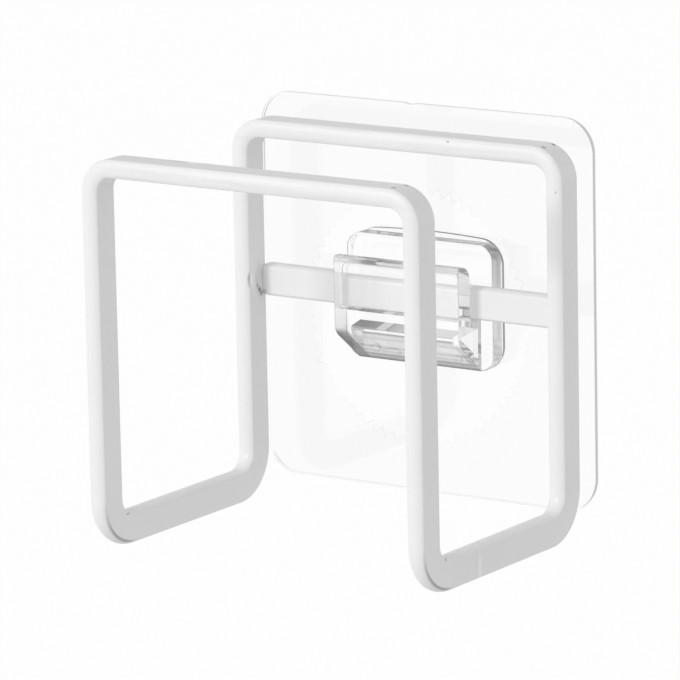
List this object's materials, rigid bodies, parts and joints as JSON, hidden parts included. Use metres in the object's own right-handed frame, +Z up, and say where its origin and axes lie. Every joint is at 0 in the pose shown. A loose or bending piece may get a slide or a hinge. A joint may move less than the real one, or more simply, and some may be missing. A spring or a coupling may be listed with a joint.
{
  "type": "sponge holder",
  "caption": "Self-adhesive sponge holder: a white powder-coated flat-bar frame whose crossbar hangs in a clear slotted hook on a clear adhesive film.",
  "frame": {"origin": "centre of the adhesive layer's back face, which lies on the wall", "axes": "+Z up the wall, +Y out of the back into the wall, +X to the right seen from the room"},
  "size_m": [0.0805, 0.0663, 0.0835],
  "materials": {
    "clear_adhesive": "clear soft gel adhesive, faintly cloudy",
    "clear_film": "clear glossy polyester film",
    "clear_bond": "clear glue line",
    "clear_polycarbonate": "clear moulded, polished",
    "white_powder_coat": "satin white powder coat with a fine texture"
  },
  "bodies": {
    "wall_mount": {"adhesive_layer": "clear_adhesive", "backing_film": "clear_film", "clip_bond": "clear_bond", "hook_plate": "clear_polycarbonate", "hook_block": "clear_polycarbonate"},
    "holder": {"holder_frame": "white_powder_coat", "crossbar": "white_powder_coat"}
  },
  "joints": [
    {"name": "frame_lift", "type": "slide", "parent": "wall_mount", "child": "holder", "axis": [0, 0, 1], "range_m": [0, 0.088]}
  ]
}
